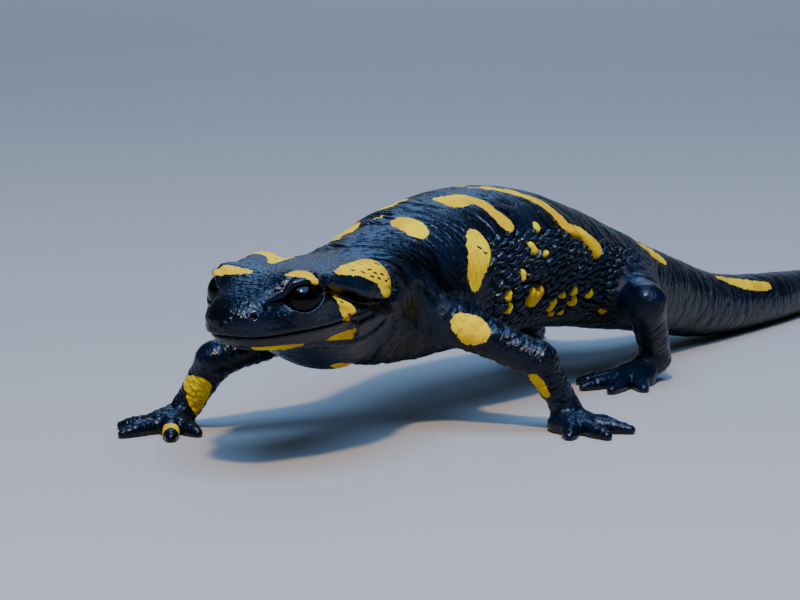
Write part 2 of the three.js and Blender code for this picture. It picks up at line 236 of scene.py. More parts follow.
class Midline:
    """The body's curve, with its own axes and sections at every quarter of a millimetre."""

    step = 0.25
    coarse = 8              # the first search for a point's station tries every eighth step
    search_at_once = 20000  # points searched together, to spare memory

    def __init__(self):
        path = smooth_path(SPINE)
        lengths = path_lengths(path)
        self.length = lengths[-1]
        at = np.arange(0, self.length + self.step, self.step)
        self.centre = at_lengths(path, lengths, at)
        self.along = unit(np.gradient(self.centre, axis=0))
        self.along[-1] = self.along[-2]
        self.aside = unit(np.cross(self.along, (0, 0, 1)))
        self.up = np.cross(self.aside, self.along)
        self.section = rows_at(SECTIONS, np.minimum(at, self.length))

    def take(self, values, s):
        """Values at stations that lie between the steps."""
        at = np.clip(s / self.step, 0, len(values) - 1.001)
        i = at.astype(int)
        t = (at - i)[:, None]
        return values[i] * (1 - t) + values[i + 1] * t

    def at(self, station):
        """The midline's point at one station, and its axes there: along, aside and up."""
        s = np.array([float(station)])
        return [self.take(values, s)[0] for values in (self.centre, self.along, self.aside, self.up)]

    def place(self, p, s=None):
        """Station, and the distances aside, up and past the end, of each point; s is a first guess."""
        if s is None:
            tried = self.centre[::self.coarse]
            s = np.empty(len(p))
            for start in range(0, len(p), self.search_at_once):
                part = p[start:start + self.search_at_once]
                gap = ((part[:, None, :] - tried[None]) ** 2).sum(2)
                s[start:start + self.search_at_once] = gap.argmin(1) * self.coarse * self.step
        for _ in range(3):
            offset = p - self.take(self.centre, s)
            s = np.clip(s + (offset * self.take(self.along, s)).sum(1), 0, self.length)
        offset = p - self.take(self.centre, s)
        x = (offset * self.take(self.aside, s)).sum(1)
        z = (offset * self.take(self.up, s)).sum(1)
        return s, x, z, (offset * self.take(self.along, s)).sum(1)

    @staticmethod
    def swell(s, angle):
        """How far the swellings lift the skin at a station and angle."""
        return sum(height * bell(s - station, length) * bell(angle - at, spread)
                   for station, length, at, spread, height in SWELLINGS)

    def reach(self, s, x, z):
        """How far out the skin lies in each point's own direction, and its angle up from the side."""
        w, rise, drop, power = self.take(self.section, s).T
        across = np.abs(x) / w
        tall = np.abs(z) / np.where(z > 0, rise, drop)
        size = np.maximum((across**power + tall**power) ** (1 / power), 1e-6)
        over, out = (tall / size) ** (power / 2), (across / size) ** (power / 2)
        angle = np.degrees(np.arctan2(np.sign(z) * over, out))
        return np.hypot(x, z) / size + self.swell(s, angle), angle

    def point(self, station, angle, side):
        """A point on the skin, at a station and an angle up from the side."""
        centre, _, aside, up = self.at(station)
        w, rise, drop, power = self.take(self.section, np.array([float(station)]))[0]
        a = math.radians(angle)
        c, n = math.cos(a), math.sin(a)
        swell = self.swell(station, angle)
        tall = rise if n > 0 else drop
        x = w * abs(c) ** (2 / power) * np.sign(c) + swell * c
        z = tall * abs(n) ** (2 / power) * np.sign(n) + swell * n
        return centre + side * x * aside + z * up

    def sunk(self, station, angle, side, depth):
        """A point under the skin, straight towards the midline."""
        on_skin = self.point(station, angle, side)
        return on_skin + unit(self.at(station)[0] - on_skin) * depth


midline = Midline()


def eye_centre(side):
    centre, _, aside, up = midline.at(EYE_STATION)
    return centre + side * EYE_ASIDE * aside + EYE_UP * up


def tapered(p, start, end, r0, r1):
    """Distance to a rod that tapers from one radius to another."""
    axis = end - start
    t = np.clip(((p - start) @ axis) / (axis @ axis), 0, 1)
    return np.linalg.norm(p - start - t[:, None] * axis, axis=1) - (r0 + (r1 - r0) * t)


def rod_shape(points, radii, pieces):
    """Points spaced evenly along a smooth curve, each with a radius from evenly spaced radii."""
    path = smooth_path(points, 30)
    lengths = path_lengths(path)
    at = np.linspace(0, lengths[-1], pieces + 1)
    rows = [(i / (len(radii) - 1), r) for i, r in enumerate(radii)]
    return at_lengths(path, lengths, at), rows_at(rows, at / at[-1])[:, 0]


def rod_distance(p, points, radii, pieces):
    """Distance to a round rod along a smooth curve."""
    joints, girth = rod_shape(points, radii, pieces)
    best = np.full(len(p), FAR)
    for a, b, r0, r1 in zip(joints, joints[1:], girth, girth[1:]):
        best = smooth_union(best, tapered(p, a, b, r0, r1), ROD_BLEND)
    return best


def toe_points(sole, heading, length):
    """The places of a toe's root, bend and tip."""
    angle = math.radians(heading)
    out = np.array([math.sin(angle), -math.cos(angle), 0])
    steps = ((TOE_START, TOE_START_HEIGHT), (length * TOE_BEND, TOE_BEND_HEIGHT), (length, TOE_TIP_HEIGHT))
    return [(*(sole + out * distance)[:2], height) for distance, height in steps]


def sole_distance(p, sole, heading):
    """Distance to the pad under a hand or foot, about right close to it."""
    a = math.radians(heading)
    d = p - sole
    across = d[:, 0] * math.cos(a) + d[:, 1] * math.sin(a)
    along = -d[:, 0] * math.sin(a) + d[:, 1] * math.cos(a)
    q = np.stack([across / SOLE_ACROSS, along / SOLE_ALONG, d[:, 2] / SOLE_UP], 1)
    size = np.linalg.norm(q, axis=1)
    return (size - 1) * np.linalg.norm(d, axis=1) / np.maximum(size, 1e-6)


def leg_distance(p, leg):
    girth, points, toes = leg
    inner, root, joint, wrist, sole = [np.array(q, float) for q in points]
    joint_r, wrist_r = girth[2:]
    heading = toes[len(toes) // 2][0]
    upper = rod_distance(p, [inner, root, joint], girth[:3], 8)
    middle_r = LIMB_FULLNESS * (joint_r + wrist_r) / 2
    lower = rod_distance(p, [joint, wrist], [joint_r, middle_r, wrist_r], 5)
    ankle = tapered(p, wrist, sole, wrist_r, wrist_r)
    hand = smooth_union(ankle, sole_distance(p, sole, heading), SOLE_BLEND)
    digits = np.full(len(p), FAR)
    for toe_heading, length in toes:
        toe = rod_distance(p, toe_points(sole, toe_heading, length), TOE_RADII, 6)
        digits = smooth_union(digits, toe, WEB_BLEND)
    hand = smooth_union(hand, digits, TOE_BLEND)
    return smooth_union(smooth_union(upper, lower, KNEE_BLEND), hand, ANKLE_BLEND)


def near_leg(p, leg, margin=11):
    points = np.array(leg[1])
    return np.all((p > points.min(0) - margin) & (p < points.max(0) + margin), axis=1)


def skin_distance(p, s=None):
    """Signed distances to the whole skin, the body and the legs, and each point's place on the body."""
    s, x, z, past = midline.place(p, s)
    step = 0.4
    reach, angle = midline.reach(s, x, z)
    further, _ = midline.reach(np.clip(s + step, 0, midline.length), x, z)
    nearer, _ = midline.reach(np.clip(s - step, 0, midline.length), x, z)
    slope = np.clip((further - nearer) / (2 * step), -3, 3)
    body = (np.hypot(x, z) - reach) / np.sqrt(1 + slope**2)
    body = np.where(np.abs(past) > 0.3, np.maximum(body, np.abs(past)), body)
    for _, side in SIDES:
        lid = np.linalg.norm(p - eye_centre(side), axis=1) - (EYE_RADIUS + LID_THICKNESS)
        body = smooth_union(body, lid, LID_BLEND)
        front, back = [midline.sunk(station, angle, side, depth) for station, angle, depth, _ in GLAND]
        body = smooth_union(body, tapered(p, front, back, GLAND[0][3], GLAND[1][3]), GLAND_BLEND)
    leg_gap = np.full(len(p), FAR)
    for leg in LEGS.values():
        close = near_leg(p, leg)
        if close.any():
            leg_gap[close] = np.minimum(leg_gap[close], leg_distance(p[close], leg))
    return smooth_union(body, leg_gap, SHOULDER_BLEND), body, leg_gap, s, x, z, angle


# ---------- the rough form: overlapping closed lofts, fused by a voxel remesh ----------


def body_ring(s, sides=40):
    """Points round the skin, turning from the left side over the back."""
    ring = []
    for i in range(sides):
        turn = 2 * math.pi * i / sides
        up = math.degrees(math.atan2(math.sin(turn), abs(math.cos(turn))))
        ring.append(midline.point(s, up, LEFT if math.cos(turn) >= 0 else RIGHT))
    return ring


def add_loft(mesh, rings):
    """Adds a closed tube through rings of points to a bmesh."""
    loops = [[mesh.verts.new(v) for v in ring] for ring in rings]
    for a, b in zip(loops, loops[1:]):
        for i in range(len(a)):
            j = (i + 1) % len(a)
            mesh.faces.new((a[i], a[j], b[j], b[i]))
    mesh.faces.new(loops[0][::-1])
    mesh.faces.new(loops[-1])


def rod_rings(points, radii, pieces, sides=16):
    """Rings of points round a rod along a smooth curve."""
    centres, girth = rod_shape(points, radii, pieces)
    ways = unit(np.gradient(centres, axis=0))
    across = unit(np.cross(ways[0], (0, 0, 1)))
    turn = [2 * math.pi * i / sides for i in range(sides)]
    rings = []
    for c, way, r in zip(centres, ways, girth):
        across = unit(across - way * (across @ way))
        over = np.cross(across, way)
        rings.append([c + across * r * math.cos(a) + over * r * math.sin(a) for a in turn])
    return rings


def add_ball(mesh, centre, radius, stretch=(1, 1, 1)):
    made = bmesh.ops.create_icosphere(mesh, subdivisions=3, radius=radius)
    bmesh.ops.scale(mesh, verts=made["verts"], vec=stretch)
    bmesh.ops.translate(mesh, verts=made["verts"], vec=Vector(centre))


def rough_form():
    """The whole animal as overlapping lofts and balls, fused into one mesh."""
    mesh = bmesh.new()
    stations = [0, 0.4, 0.8, 1.6, *np.arange(3, midline.length - 1, 1.5), midline.length]
    add_loft(mesh, [body_ring(s) for s in stations])
    for _, side in SIDES:
        add_ball(mesh, eye_centre(side), EYE_RADIUS + LID_THICKNESS)
    for girth, points, toes in LEGS.values():
        inner, root, joint, wrist, sole = points
        add_loft(mesh, rod_rings([inner, root, joint], girth[:3], 8))
        add_loft(mesh, rod_rings([joint, wrist], girth[2:], 6))
        add_ball(mesh, joint, girth[2])
        add_ball(mesh, wrist, girth[3])
        add_loft(mesh, rod_rings([wrist, sole], [girth[3], SOLE_UP], 3))
        add_ball(mesh, sole, 1, (SOLE_ACROSS, SOLE_ALONG, SOLE_UP))
        for heading, length in toes:
            toe = toe_points(np.array(sole, float), heading, length)
            add_loft(mesh, rod_rings(toe, TOE_RADII, 8, 10))
    data = bpy.data.meshes.new("rough form")
    mesh.to_mesh(data)
    mesh.free()
    form = bpy.data.objects.new("rough form", data)
    bpy.context.collection.objects.link(form)
    remesh = form.modifiers.new("fuse", "REMESH")
    remesh.mode = "VOXEL"
    remesh.voxel_size = SKIN_GRAIN
    fused = bpy.data.meshes.new_from_object(form.evaluated_get(bpy.context.evaluated_depsgraph_get()))
    bpy.data.objects.remove(form)
    return fused


def read(data, what):
    """The places ("co") or the normals ("normal") of a mesh's vertices."""
    values = np.empty(len(data.vertices) * 3, np.float32)
    data.vertices.foreach_get(what, values)
    return values.reshape(-1, 3).astype(float)


def set_places(data, p):
    data.vertices.foreach_set("co", p.astype(np.float32).ravel())
    data.update()


def store(data, name, values):
    """Keeps a number or a vector for every vertex, for the materials to read."""
    kind, field = ("FLOAT", "value") if values.ndim == 1 else ("FLOAT_VECTOR", "vector")
    data.attributes.new(name, kind, "POINT").data.foreach_set(field, values.astype(np.float32).ravel())


def settle(data):
    """Moves every vertex along its normal onto the smooth skin."""
    s = None
    for _ in range(3):
        p = read(data, "co")
        gap, _, _, s, *_ = skin_distance(p, s)
        set_places(data, p - read(data, "normal") * np.clip(gap, -0.6, 0.6)[:, None])


def refine(data, wanted):
    """Splits the faces between the wanted corners into four."""
    mesh = bmesh.new()
    mesh.from_mesh(data)
    mesh.verts.ensure_lookup_table()
    edges = [e for e in mesh.edges if wanted[e.verts[0].index] and wanted[e.verts[1].index]]
    bmesh.ops.subdivide_edges(mesh, edges=edges, cuts=1, use_grid_fill=True)
    bmesh.ops.triangulate(mesh, faces=[f for f in mesh.faces if len(f.verts) > 4])
    mesh.to_mesh(data)
    mesh.free()


def flank(s, angle):
    """Where the flank is beaded, from 0 to 1."""
    return (smoothstep(47, 51.5, s) * smoothstep(90, 82, s) * smoothstep(-66, -46, angle)
            * smoothstep(33, 22, angle))


def fine_parts(data):
    """Which vertices are on the head, the beaded flanks and the hands."""
    p = read(data, "co")
    _, body, leg_gap, s, _, _, angle = skin_distance(p)
    soles = np.array([leg[1][-1] for leg in LEGS.values()], float)
    to_sole = np.min([np.linalg.norm(p - sole, axis=1) for sole in soles], axis=0)
    return ((body < leg_gap) & ((s < HEAD_FINE) | (flank(s, angle) > 0.05))) | (to_sole < HAND_FINE)


class Clay:
    """The smooth skin's vertices, what each needs to know of its place, and how far it is pushed out."""

    def __init__(self, data):
        self.p, self.n = read(data, "co"), read(data, "normal")
        _, body, leg, self.s, self.x, self.z, self.angle = skin_distance(self.p)
        self.side = np.where(self.x >= 0, LEFT, RIGHT)
        self.on_leg = smoothstep(-0.6, 1.6, body - leg)
        self.down = np.radians(90 - self.angle) * TRUNK_RADIUS      # round the body from the back's middle
        self.push = np.zeros(len(self.p))
        self.still = np.zeros(len(self.p))      # 1 on and between the lids' rims, which no wrinkle may move
        self.tree = kdtree.KDTree(len(self.p))
        for i in np.flatnonzero(body < leg + 0.8):
            self.tree.insert(self.key(self.s[i], self.angle[i], self.side[i]), i)
        self.tree.balance()

    @staticmethod
    def key(station, angle, side):
        """A place on the body as a point: one degree counts as 0.12 mm, and the sides lie far apart."""
        return (station, angle * 0.12, side * 20)

    def at(self, station, angle, side):
        """The skin's own vertex at a station, angle and side."""
        return self.p[self.tree.find(self.key(station, angle, side))[1]]

    def line(self, nodes, side, steps=6):
        """A smooth line on the skin; what follows station and angle in a node runs along it."""
        path = smooth_path(nodes, steps) if len(nodes) > 1 else nodes
        return np.array([[*self.at(row[0], row[1], side), *row[2:]] for row in path])


def line_distance(p, line, reach):
    """Distance to a line, less the radius in its last column if it has one; far points get reach."""
    out = np.full(len(p), float(reach))
    if len(line) == 1:
        line = np.vstack([line, line + (0.01, 0, 0, 0)])
    radii = line[:, 3] if line.shape[1] > 3 else np.zeros(len(line))
    low, high = line[:, :3].min(0) - reach - radii.max(), line[:, :3].max(0) + reach + radii.max()
    near = np.flatnonzero(np.all((p > low) & (p < high), axis=1))
    q, best = p[near], out[near]
    for a, b, r0, r1 in zip(line, line[1:], radii, radii[1:]):
        if np.linalg.norm(b[:3] - a[:3]) > 1e-6:
            best = np.minimum(best, tapered(q, a[:3], b[:3], r0, r1))
    out[near] = best
    return out


# ---------- eyes: an almond opening with a thick upper lid ----------

LID_ROLL, UPPER_ROLL = 0.1, 0.16        # height of a lid's rim, and how much more the upper lid has
LID_CREASE, UPPER_CREASE = 0.06, 0.14   # depth of the crease behind the rim, likewise
# the opening between the lids, from its back corner to its front one: forward, lower edge, upper edge
LID_OPENING = [
    (-2.5, 0.4, 0.5), (-2.3, -0.2, 0.95), (-1.6, -0.98, 1.42), (-0.6, -1.47, 1.8), (0.4, -1.6, 1.93),
    (1.4, -1.33, 1.78), (2.35, -0.75, 1.15), (3.1, 0.05, 0.86), (4, 0.55, 0.65),
]


def eye_axes(side):
    """Out of the eye, forward along the lids, and up."""
    _, along, aside, top = midline.at(EYE_STATION)
    ahead, out = -along, aside * side
    turn, lift = math.radians(EYE_OUTWARD), math.radians(EYE_RAISED)
    look = (ahead * math.cos(turn) + out * math.sin(turn)) * math.cos(lift) + top * math.sin(lift)
    forward = unit(ahead - look * (ahead @ look))
    return look, forward, unit(top - look * (top @ look) - forward * (top @ forward))


def open_eyes(clay):
    """Rolls the lids round the eyeballs and sinks what lies between them behind the eyeball."""
    first, last = LID_OPENING[0][0], LID_OPENING[-1][0]
    for _, side in SIDES:
        look, forward, top = eye_axes(side)
        offset = clay.p - eye_centre(side)
        near = np.flatnonzero((np.linalg.norm(offset, axis=1) < EYE_RADIUS + 3) & (offset @ look > -0.5))
        offset = offset[near]
        outer = np.linalg.norm(offset, axis=1)
        ahead, above = offset @ forward, offset @ top
        lower, upper = rows_at(LID_OPENING, np.clip(ahead, first, last)).T
        inside = np.minimum(np.minimum(upper - above, above - lower), np.minimum(ahead - first, last - ahead))
        edge = 0.85 * inside
        over = smoothstep(-0.2, 0.5, above - (upper + lower) / 2)
        close = smoothstep(EYE_RADIUS + 2.6, EYE_RADIUS + 1.6, outer)
        roll = (LID_ROLL + UPPER_ROLL * over) * bell(edge + 0.3, 0.26)
        crease = -(LID_CREASE + UPPER_CREASE * over) * bell(edge + 0.8, 0.18)
        wanted = outer + (roll + crease) * close
        hug = smoothstep(-0.9, 0.0, edge) * smoothstep(EYE_RADIUS + 1.6, EYE_RADIUS + 0.9, outer)
        wanted = wanted * (1 - hug) + (EYE_RADIUS + 0.3 + roll) * hug
        moved = offset * (wanted / outer)[:, None]
        floor = np.interp(ahead, (2.3, last), (-0.4, 1.4))
        sink = smoothstep(0, 0.16, edge) * np.maximum(moved @ look - floor, 0)
        clay.p[near] = eye_centre(side) + moved - look * sink[:, None]
        clay.still[near] = np.maximum(clay.still[near], smoothstep(-0.7, -0.2, edge))


# ---------- head: nostrils, mouth, gland, folds ----------

NOSTRILS = {LEFT: (1.5, 25), RIGHT: (2.3, 14)}      # station and angle
NOSTRIL_DEPTH, NOSTRIL_RADIUS = 0.55, 0.24
MOUTH_DEPTH, MOUTH_WIDTH = 0.42, 0.17
# grooves on both sides of the head: depth, width, share of the depth raised beside it, station and angle
GROOVES = [
    # under and behind the gland
    (1.3, 0.58, 0.1,
     [(9.6, 27), (11.9, 20), (13.9, 11), (15.6, 4), (17.4, 0), (19.7, -3), (22.6, -3), (25, 2), (26.3, 12)]),
    (0.55, 0.38, 0.25, [(25.1, 3), (25.3, 14), (25.1, 26), (24.5, 38), (23.4, 49)]),
    # edge of the jaw, fold of the cheek, fold at the corner of the jaw, fold of the throat
    (0.4, 0.4, 0.25, [(2, -78), (5, -60), (8.7, -56), (13.3, -51), (17, -46), (20.5, -33), (22.5, -20)]),
    (0.35, 0.35, 0.25, [(15.6, -17), (17.2, -12), (19.1, -9), (21.4, -9), (24, -9)]),
    (0.3, 0.32, 0.25, [(14.2, -13), (15.3, -19), (15.8, -27), (16.6, -36)]),
    (0.5, 0.5, 0.25,
     [(24.6, -6), (26.4, -15), (27.8, -26), (28.6, -38), (29, -52), (28.6, -68), (28.3, -88)]),
    # in front of and behind the eye
    (0.12, 0.25, 0.25, [(4.6, 38), (3.9, 34), (3.2, 30)]),
    (0.25, 0.24, 0.25, [(10.3, 42), (10.6, 34), (10.4, 26), (10, 18)]),
]


def shape_head(clay):
    """Presses in the nostrils, the mouth and the grooves, and swells what lies beside them."""
    s, push = clay.s, clay.push
    for _, side in SIDES:
        d = np.linalg.norm(clay.p - clay.at(*NOSTRILS[side], side), axis=1)
        push += -NOSTRIL_DEPTH * bell(d, NOSTRIL_RADIUS) + 0.08 * bell(d - 0.55, 0.28)
    # the mouth, between full lips, over a lower lip that is set back a little
    gap = clay.z - rows_at(MOUTH_LINE, np.clip(s, -2, 15))[:, 0]
    front = smoothstep(16.2, 13.5, s) * (1 - clay.on_leg)
    lips = 0.13 * bell(gap - 0.55, 0.4) + 0.07 * bell(gap + 0.5, 0.35)
    push += front * (-MOUTH_DEPTH * bell(gap, MOUTH_WIDTH) + lips)
    push += -0.14 * front * smoothstep(0.1, -0.5, gap) * smoothstep(-3.2, -1.5, gap)
    for depth, width, shoulder, nodes in GROOVES:
        for _, side in SIDES:
            d = line_distance(clay.p, clay.line(nodes, side), width * 4)
            push += -depth * bell(d, width) + depth * shoulder * bell(d - 2.1 * width, width)


# ---------- wrinkles and beads ----------

BEAD_LENGTH, BEAD_WIDTH, BEAD_HEIGHT = 1.85, 0.98, 0.85
BEAD_CLIMB = math.radians(24)           # the rows of beads climb towards the tail
NECK_FOLD_TURN = math.radians(26)       # how far the neck's folds lean back from upright
NECK_FOLD, BACK_FOLD, TAIL_FOLD, BELLY_CREASE = 0.34, 0.22, 0.2, 0.08   # heights


def pebbles(q, seed, edge):
    """Rounded islands with narrow furrows between them: 0 in a furrow, 1 on an island."""
    nearest, second = cell_distance(q, seed)
    return smoothstep(0.0, edge, second - nearest)


def furrows(u, v, seed):
    """Long meandering furrows that run along v: 0 in a furrow, 1 between."""
    slice_at, width = 0.37, 0.3
    q = np.stack([u, v, np.full(len(u), slice_at)], 1)
    coarse = np.clip(np.abs(noise(q, 1.0, seed)) / width, 0, 1) ** 0.7
    fine = np.clip(np.abs(noise(q * (2.1, 1.7, 1), 1.0, seed + 5)) / width, 0, 1) ** 0.8
    return np.minimum(coarse, 0.45 + 0.55 * fine)


def wrinkle(clay):
    """Folds, beads and pits of the body, each with its height in millimetres."""
    p, s, angle, down, side = clay.p, clay.s, clay.angle, clay.down, clay.side
    trunk = 1 - clay.on_leg
    wander = 0.6 * noise(p, 6.0, 11) + 0.25 * noise(p, 2.2, 12)
    round_body = down * side
    relief = np.zeros(len(p))

    # neck and shoulders: long folds that run down and back
    slant = NECK_FOLD_TURN * smoothstep(22, 29, s) * smoothstep(52, 40, s)
    low = down - 6
    across = s * np.cos(slant) - low * np.sin(slant)
    along = s * np.sin(slant) + low * np.cos(slant)
    neck = smoothstep(24, 27.5, s) * smoothstep(56, 44, s) * trunk
    relief += NECK_FOLD * neck * (furrows((across + wander) / 2, along * side / 8, 21) - 0.7)

    # back and sides
    beads_here = flank(s, angle) * trunk
    back = smoothstep(42, 54, s) * smoothstep(106, 96, s) * trunk * (1 - beads_here)
    relief += BACK_FOLD * back * (furrows((s + wander) / 2.1, round_body / 6.5, 31) - 0.7)

    # flank: beads in rows that climb to the tail
    row = (s + 0.4 * wander) * math.cos(BEAD_CLIMB) - down * math.sin(BEAD_CLIMB)
    rank = s * math.sin(BEAD_CLIMB) + (down + 0.3 * wander) * math.cos(BEAD_CLIMB)
    nearest, second = cell_distance(np.stack([row / BEAD_LENGTH, rank / BEAD_WIDTH], 1), 41, 0.5)
    dome = np.sqrt(np.clip(1 - (nearest / 0.66) ** 2, 0, 1))
    bead = np.minimum(dome, np.clip((second - nearest) / 0.45, 0, 1) ** 0.6)
    bead = BEAD_HEIGHT * (bead - 0.5)
    # a yellow spot on the flank is one large bead
    spot = 0.75 * np.sqrt(np.clip(clay.marking / 0.45, 0, 1)) - 0.4
    on_spot = smoothstep(-0.42, -0.12, clay.marking)
    relief += beads_here * (bead + (spot - bead) * on_spot)

    # tail: upright furrows
    tail = smoothstep(96, 106, s) * smoothstep(176, 165, s) * trunk
    upright = furrows((s + 0.8 * wander) / 2.4, round_body / 9, 51) - 0.7
    relief += TAIL_FOLD * tail * upright * np.clip(np.hypot(clay.x, clay.z) / 5, 0.3, 1)

    # throat and belly: fine creases
    belly = smoothstep(-30, -60, angle) * smoothstep(6, 12, s) * trunk * (1 - beads_here)
    relief += BELLY_CREASE * belly * (furrows((s + wander) / 1.6, round_body / 3.4, 61) - 0.6)
    chest = smoothstep(20, 26, s) * smoothstep(52, 46, s) * smoothstep(10, -15, angle) * (1 - beads_here)
    relief += 0.09 * chest * (pebbles(p / 0.9, 63, 0.5) - 0.6)

    # crown and cheeks: fine pits, and dewy pores round the lips
    crown = smoothstep(27, 22, s) * trunk * (1 - clay.still)
    upper = smoothstep(20, 55, angle)
    grain = 0.7 + 0.3 * noise(p, 2.5, 72)
    relief += crown * grain * (0.04 + 0.06 * upper) * (pebbles(p / 0.62, 71, 0.6) - 0.6)
    relief += -0.1 * crown * bell(cell_distance(p / 1.3, 75)[0], 0.2)
    lips = smoothstep(7, 3, s) * smoothstep(-50, -20, angle) * smoothstep(50, 20, angle) * trunk
    relief += 0.09 * lips * bell(cell_distance(p / 0.62, 77)[0], 0.33)
    clay.push += relief
    clay.lie = np.stack([across + wander, 0.4 * clay.x, 0.4 * clay.z], 1)


def wrinkle_limbs(clay):
    """Rings of skin round every limb and toe, a crease round the wrist, knuckles and blunt toe tips."""
    for k, leg in enumerate(LEGS.values()):
        near = np.flatnonzero(near_leg(clay.p, leg) & (clay.on_leg > 0.02))
        q, on_leg = clay.p[near], clay.on_leg[near]
        _, root, joint, wrist, sole = [np.array(place, float) for place in leg[1]]
        toes = [np.array(toe_points(sole, heading, length), float) for heading, length in leg[2]]
        # each stretch: its two ends, how far apart its rings are, and their height
        rods = [(root, joint, 1.5, 0.2), (joint, wrist, 1.2, 0.18), (wrist, sole, 1.0, 0.15)]
        rods += [(toe[0], toe[2], 0.85, 0.11) for toe in toes]
        gaps, rings, lies = [], [], []
        for a, b, pitch, height in rods:
            way = unit(b - a)
            gaps.append(np.maximum(tapered(q, a, b, 0, 0), 0))
            along = (q - a) @ way
            off = (q - a) - along[:, None] * way
            wobble = 0.35 * noise(q, 2.0, 80 + k)
            turns = np.concatenate([((along + wobble) / pitch)[:, None], off / (pitch * 2.6)], 1)
            furrow = np.clip(np.abs(noise(turns, 1.0, 90 + k)) / 0.3, 0, 1) ** 0.7
            tile = pebbles(turns * (1.3, 1.6, 1.6, 1.6), 95 + k, 0.45)
            rings.append(height * (0.6 * furrow + 0.4 * tile - 0.65))
            lies.append(along[:, None] * way + 0.3 * off)
        weight = np.exp(-np.array(gaps) * 2.2)
        weight /= weight.sum(0)
        lie = (weight[:, :, None] * np.array(lies)).sum(0)
        clay.lie[near] += (lie - clay.lie[near]) * on_leg[:, None]
        clay.push[near] += (weight * np.array(rings)).sum(0) * on_leg
        from_wrist = np.abs((q - wrist) @ unit(wrist - joint) + 0.25 * noise(q, 1.5, 96))
        clay.push[near] -= 0.2 * bell(from_wrist, 0.28) * bell(np.linalg.norm(q - wrist, axis=1), 3) * on_leg
        for toe in toes:
            knuckle = toe[0] * 0.38 + toe[2] * 0.62
            clay.push[near] += 0.13 * bell(np.linalg.norm(q - knuckle, axis=1), 0.8)
            clay.push[near] += 0.1 * bell(np.linalg.norm(q - toe[2], axis=1), 0.6)


# ---------- markings ----------

